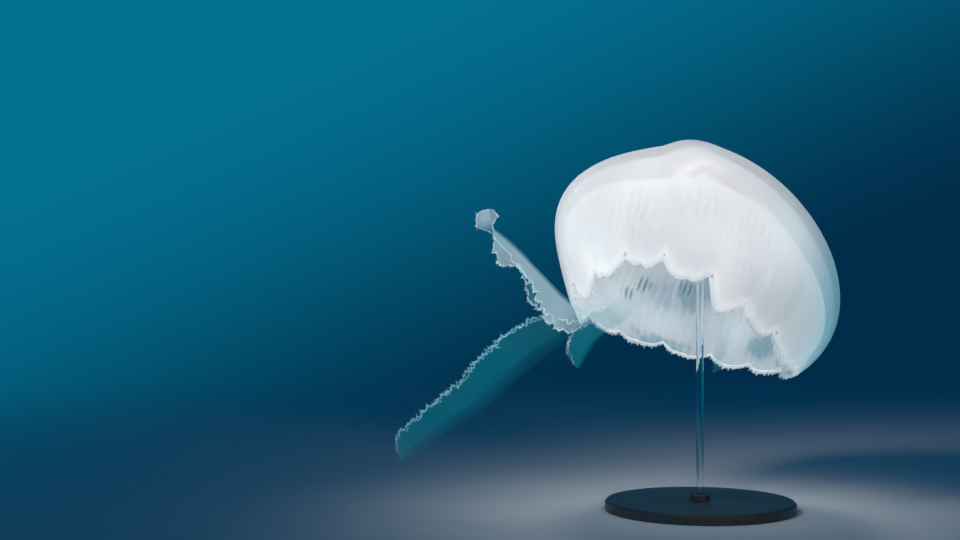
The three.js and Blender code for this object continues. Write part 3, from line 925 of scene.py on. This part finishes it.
# %% The arms in numbers
# widths are (share of the length, width of the front lip, width of the far one). cloud and teal run from the mouth to
# the tip, and other is the far lip's share of cloud. The lip's edge shows from lip_from on, a hem lets the leaf run on
# past its midrib, round is the share of the length over which the tip closes, and a turned tip shows its other side.
PLAIN_ARM = {
    "folds": [20, 20], "twists": [0, 0], "lengths": ("base", "tip"), "other": 0.9, "teal": [0.7, 1.0],
    "other_teal": 1, "hem": 0, "turned": 0,
}
ARMS = {
    "arm_upper": PLAIN_ARM | {
        "route": [
            (-1, -11, 215), (-34, -30, 176), (-76, -44, 156), (-103, -46, 165), (-130, -45, 190),
            (-149, -45, 210), (-160, -45, 219), (-165.5, -45, 223), (-168.5, -45, 231), (-169, -45, 239),
        ],
        "side": -1,
        "widths": [
            (0, 6, 6), (0.1, 9, 9), (0.3, 10, 9), (0.42, 8, 7), (0.49, 6, 5), (0.52, 14, 8), (0.545, 22, 14),
            (0.59, 23, 19), (0.63, 20, 20), (0.67, 15, 22), (0.70, 12, 20), (0.73, 11, 16), (0.75, 10.5, 11),
            (0.78, 11, 9), (0.80, 12, 8), (0.815, 17, 8), (0.835, 20.5, 7), (0.86, 20, 6), (0.88, 17.5, 6),
            (0.90, 14, 5), (0.915, 9, 4), (0.928, 2.5, 2), (0.934, 2.5, 2.5), (0.943, 5, 7), (0.955, 8, 11),
            (0.97, 9, 12), (0.985, 8, 12), (1, 5, 8),
        ],
        "folds": [17] * 8 + [20, 60],
        "twists": [0] * 8 + [20, 80],
        "lengths": ("base", "middle", "tip"),
        "cloud": [0] * 5 + [0.08] + [0.25] * 4 + [0.29],
        "other": 0.55,
        "teal": [0.5, 0.3, 0.15, 0, 0, 0],
        "other_teal": 0.8,
        "lip": 0.66,
        "lip_from": 0.49,
        "round": 0.05,
        "turned": 1,
    },
    "arm_lower": PLAIN_ARM | {
        "route": [
            (-11, 1, 217), (-36, -6, 172), (-72, -20, 146), (-102, -25, 143), (-129, -25, 125),
            (-152, -25, 106), (-176, -26, 86), (-207, -28, 66), (-238, -30, 44),
        ],
        "side": 1,
        "widths": [
            (0, 6, 6), (0.08, 11, 11), (0.17, 16, 16), (0.3, 20, 20), (0.42, 21, 20), (0.5, 27, 26),
            (0.58, 31, 30), (0.67, 30, 29), (0.75, 26, 25), (0.83, 23, 22), (0.92, 20, 19), (1, 17, 16),
        ],
        "folds": [15, 15],
        "lengths": ("base", "middle", "tip"),
        "cloud": [0, 0, 0, 0.06, 0.10, 0.10, 0.09],
        "teal": [0.6, 0.9, 1.0, 1.0],
        "lip": 0.44,
        "lip_from": 0.44,
        "hem": 3,
        "round": 0.05,
    },
    "arm_back": PLAIN_ARM | {
        "route": [(-1, 11, 219), (-34, 20, 172), (-60, 21, 150), (-80, 20, 137), (-89, 20, 124), (-96, 20, 112)],
        "side": 1,
        "widths": [(0, 6, 6), (0.2, 12, 12), (0.4, 15, 15), (0.7, 19, 17), (0.85, 22, 20), (1, 20, 19)],
        "cloud": [0, 0, 0.02, 0.11, 0.10],
        "lip": 0.22,
        "lip_from": 0.5,
        "round": 0.18,
    },
    "arm_leading": PLAIN_ARM | {
        "route": [(11, -1, 215), (14, 10, 180), (17, 22, 145), (15, 32, 108)],
        "side": -1,
        "widths": [(0, 6, 6), (0.25, 11, 11), (0.5, 14, 14), (0.75, 12, 12), (1, 5, 5)],
        "cloud": [0, 0, 0.08],
        "lip": 0.10,
        "lip_from": 0.4,
        "round": 0.1,
    },
}
MIDRIB = 1.6
ROUTE_SAMPLES = 1200


def smooth_route(route):
    """The smooth curve through a route's points, and the length up to each sample."""
    route = np.asarray(route, float)
    ends = np.concatenate([[2 * route[0] - route[1]], route, [2 * route[-1] - route[-2]]])
    pieces = []
    for i in range(len(route) - 1):
        p = ends[i : i + 4]
        gaps = np.linalg.norm(np.diff(p, axis=0), axis=1) ** 0.5
        a = (p[1] - p[0]) / gaps[0] - (p[2] - p[0]) / (gaps[0] + gaps[1]) + (p[2] - p[1]) / gaps[1]
        b = (p[2] - p[1]) / gaps[1] - (p[3] - p[1]) / (gaps[1] + gaps[2]) + (p[3] - p[2]) / gaps[2]
        a, b = a * gaps[1], b * gaps[1]
        last = i == len(route) - 2
        t = np.linspace(0, 1, ROUTE_SAMPLES // (len(route) - 1), endpoint=last)[:, None]
        c2, c3 = 3 * (p[2] - p[1]) - 2 * a - b, 2 * (p[1] - p[2]) + a + b
        pieces.append(p[1] + a * t + c2 * t**2 + c3 * t**3)
    line = np.concatenate(pieces)
    return line, np.concatenate([[0], np.cumsum(np.linalg.norm(np.diff(line, axis=0), axis=1))])


def length_of(arm):
    return smooth_route(arm["route"])[1][-1]


def leaf_frame(arm, s):
    """The midrib's points, and the ways along the leaf and across it, at shares s of an arm."""
    line, length = smooth_route(arm["route"])

    def part_way(track):
        return np.stack([np.interp(s * length[-1], length, track[:, k]) for k in range(3)], -1)

    at, along = part_way(line), unit(part_way(np.gradient(line, axis=0)))
    leafward = unit(np.cross((0, 1, 0), along) * arm["side"])
    twist = eased(arm["twists"], s)[:, None] * RAD
    leafward = leafward * np.cos(twist) + np.cross(along, leafward) * np.sin(twist)
    return at, leafward, np.cross(along, leafward)


def lip_widths(arm, s, t):
    """How wide the leaf is on t's side of the midrib. The corners of the list are rounded off."""
    share, near, far = np.array(arm["widths"], float).T
    steps = np.linspace(0, 1, 601)
    kernel = np.hanning(17) / np.hanning(17).sum()

    def rounded(width):
        width = np.convolve(np.pad(np.interp(steps, share, width), 8, mode="edge"), kernel, "valid")
        return np.interp(s, steps, width)

    tip = np.sqrt(np.clip(1 - (((s - 1 + arm["round"]) / arm["round"]).clip(0)) ** 2, 0, 1))
    return np.where(t * -arm["side"] > 0, rounded(near), rounded(far)) * (0.1 + 0.9 * tip)


print("the arms are", [round(length_of(arm)) for arm in ARMS.values()], "mm long")


# %% The leaves
LEAF_ROWS = 460
LEAF_COLUMNS = 41


def wobble(at, spacing, seed):
    """A smooth random curve between -1 and 1, with a turn every so many millimetres."""
    knots = np.random.default_rng(int(seed * 1000 + spacing * 10)).uniform(-1, 1, 600)
    place = at / spacing
    low = np.floor(place).astype(int) % 599
    return knots[low] + (knots[low + 1] - knots[low]) * smooth(0, 1, place % 1)


def ruffle(t, at, width, seed):
    """How far the leaf swings out of its plane, and how far its edge stretches."""
    edge = np.abs(t)
    at = at + 350 * (t > 0)
    slow = 0.16 * edge**2 * width * wobble(at, 17, seed)
    middle = 2.0 * edge**4 * wobble(at, 5.5, seed)
    quick = 1.4 * edge**9 * wobble(at, 2.1, seed)
    stretch = 1.2 * edge**5 * wobble(at, 4.3, seed) + 2.2 * edge**9 * wobble(at, 2.0, seed)
    return slow + middle + quick, stretch


def leaf_surface(arm, s, t, seed):
    """Points of the folded leaf at shares s of its length and t of its width."""
    at, leafward, across = leaf_frame(arm, s)
    s2, t2 = s[:, None], t[None, :]
    width = lip_widths(arm, s2, t2)
    angle = eased(arm["folds"], s2) * RAD
    reach = np.abs(t2) * width
    x = reach * np.cos(angle) - arm["hem"] * np.exp(-reach / 5)
    y = np.sign(t2) * (MIDRIB * (1 - np.exp(-reach / MIDRIB)) + reach * np.sin(angle))
    swing, stretch = ruffle(t2, s2 * length_of(arm), width, seed)
    wide = smooth(2, 12, width)
    x, y = x + stretch * wide, y + swing * wide
    return at[:, None] + leafward[:, None] * x[..., None] + across[:, None] * y[..., None]


def lip_cloud(arm, s):
    """The lip's edge is bright outside the bell and fades at the very tip. It is gathered, so it comes and goes."""
    at = s * length_of(arm)
    gathered = 0.7 + 0.3 * wobble(at, 1.5, 7) + 0.25 * wobble(at, 11, 8)
    shown = 0.05 + 0.95 * smooth(arm["lip_from"], arm["lip_from"] + 0.07, s)
    return arm["lip"] * gathered * shown * (1 - 0.4 * smooth(0.93, 1, s))


def leaf(name, arm, seed):
    s = np.linspace(0, 1, LEAF_ROWS)
    t = np.linspace(-1, 1, LEAF_COLUMNS)
    t = np.sign(t) * np.abs(t) ** 0.7
    middle = leaf_surface(arm, s, t, seed)
    edge = np.abs(t)[None]
    half = (0.20 + 0.8 * gauss(edge, 0.12) + 0.1 * edge**8) * (0.15 + 0.85 * smooth(0, 0.01, 1 - s)[:, None])
    normal = unit(np.cross(np.gradient(middle, axis=0), np.gradient(middle, axis=1)))
    ring = np.concatenate([middle + normal * half[..., None], (middle - normal * half[..., None])[:, ::-1]], 1)
    s2, nearer = s[:, None], (t * -arm["side"] > 0)[None]
    turned = arm["turned"] * smooth(0.92, 0.97, s2)
    body = eased(arm["cloud"], s2) * np.where(nearer, 1 - 0.4 * turned, arm["other"] + (1 - arm["other"]) * turned)
    if arm["hem"]:
        body = body * (0.35 + 0.65 * smooth(0.12, 0.34, edge))
    lip = smooth(0.955, 1.0, edge)
    cloud = body + (lip_cloud(arm, s2) - body) * lip
    teal = np.where(nearer, eased(arm["teal"], s2), arm["other_teal"] * (1 - turned)) * (1 - 0.6 * lip)
    rows = ring.shape[1]
    faces = grid_faces(LEAF_ROWS, rows, False, True)
    faces.append(tuple(range(rows)))
    faces.append(tuple(reversed(range((LEAF_ROWS - 1) * rows, LEAF_ROWS * rows))))
    u = np.concatenate([0.25 + 0.2 * t, 0.75 + 0.2 * t[::-1]])
    flat = np.stack(np.broadcast_arrays(u[None], 0.02 + 0.96 * s2), -1).reshape(-1, 2)
    return add_mesh(name, ring.reshape(-1, 3) * MM, faces, {"cloud": both_sides(cloud), "teal": both_sides(teal)}, flat)


for seed, (name, arm) in enumerate(ARMS.items(), 1):
    dress(leaf(name + "_leaf", arm, seed), arm_jelly, "arm", *[f"{name}_{word}" for word in arm["lengths"]])

# %% [markdown]
# Fingers on the lips
#
# The edge of each lip carries tiny fingers that catch food. They make the bright, ragged line that is all one sees of
# a clear arm from far off, and no texture could break the outline so. They are tubes again, rooted in the leaf's edge
# so that they follow its ruffles.


# %% Fingers
FINGER_SPACING = 0.36


def fingers(name, arm, seed):
    count = int(length_of(arm) / FINGER_SPACING)
    lines, share, sides = [], [], []
    k = np.linspace(0, 1, 4)[:, None]
    for lip in (-1.0, 1.0):
        s = np.clip((np.arange(count) + rng.uniform(-0.4, 0.4, count)) / count, 0.04, 0.995)
        edge = leaf_surface(arm, s, np.array([lip * 0.93, lip]), seed)
        out = unit(edge[:, 1] - edge[:, 0])
        way = unit(out + rng.normal(0, 0.7, out.shape))
        bend = rng.normal(0, 0.4, out.shape)
        length = rng.uniform(0.6, 2.0, count) * (0.4 + 0.6 * smooth(2, 12, lip_widths(arm, s, lip)))
        path = way[:, None] * k + bend[:, None] * k**2
        lines.append(edge[:, 1, None] - out[:, None] * 0.3 + length[:, None, None] * path)
        share.append(s)
        sides.append(np.full(count, 0.5 + 0.25 * lip))
    lines, share = np.concatenate(lines) * MM, np.concatenate(share)
    radii = rng.uniform(0.14, 0.28, (len(lines), 1)) * (1 - 0.4 * k.T) * MM
    cover = lip_cloud(arm, share)[:, None] * (1.3 - 0.3 * k.T)
    return tubes(name, lines, radii, 5, cover, np.stack([np.concatenate(sides), 0.02 + 0.96 * share], -1))


for seed, (name, arm) in enumerate(ARMS.items(), 1):
    dress(fingers(name + "_fingers", arm, seed), frill_clear if arm["hem"] else frill_white, "arm")

# %% [markdown]
# The mouth
#
# The four arms meet in a short stalk with a cross-shaped mouth. Four tubes would show their joints, so it is one
# stack of rings whose radius swells four times in a turn.

# %% The mouth's stalk
STALK = {"mouth": 36, "width": 9, "top": 14, "corner": 0.3}
theta, phi = np.array(STOMACH, float)
ceiling = float(outer_radius(theta, phi) - jelly_depth(theta, phi) - pocket_depth(theta, phi)) - 2.2
height = np.concatenate([[STALK["mouth"] + 4], np.linspace(STALK["mouth"], ceiling, 40), [ceiling + 0.5]])
share = (height - STALK["mouth"]) / (ceiling - STALK["mouth"])
width = STALK["width"] * (1 - 0.25 * smooth(0, 0.4, share)) + STALK["top"] * smooth(0.6, 1.02, share) ** 2
width[[0, -1]] = 0
turn = np.arange(96)[:, None] * 2 * math.pi / 96
ring = width * (1 + STALK["corner"] * np.cos(4 * turn) * (1 - 0.6 * smooth(0.3, 1, share)))
local = np.stack([ring * np.cos(turn), ring * np.sin(turn), height + 0 * ring], -1)
stalk = vase("mouth_stalk", in_place(local @ STOMACH_TURN.T), {"cloud": np.full((1, 1), 0.6)})
dress(stalk, tentacle_white, "lining", "manubrium")

# %% [markdown]
# The stand
#
# The charcoal base, its collar and the clear rod are plain forms in life too, so they keep the frame's own solids and
# only get a finish.

# %% The stand's finishes
charcoal = Finish("stand_charcoal", Roughness=0.42)
dark, darker = (0.040, 0.048, 0.054), (0.030, 0.037, 0.042)
charcoal.set(Base_Color=charcoal.blend(charcoal.noise(0.05).between(0.3, 0.7), darker, dark))
charcoal.set(Normal=charcoal.bump(charcoal.noise(0.0012, 2.0), 0.00003))
acrylic = Finish("rod_acrylic", Transmission_Weight=1.0, Roughness=0.03, IOR=1.49)
acrylic.set(Base_Color=acrylic.blend(acrylic.noise(0.02).between(0.3, 0.7), (0.96, 0.99, 1.0), (0.93, 0.98, 0.99)))
for node, finish in (("stand_base", charcoal), ("stand_collar", charcoal), ("stand_rod", acrylic)):
    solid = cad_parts[node]
    solid.data.materials.clear()
    solid.data.materials.append(finish.material)

# %% [markdown]
# The end
#
# Light may pass through many clear skins in a row, so Cycles follows it through up to 48 of them.
# The looks must not grow past the frame that carries them.

# %% Clear layers
scene.cycles.transparent_max_bounces = 48
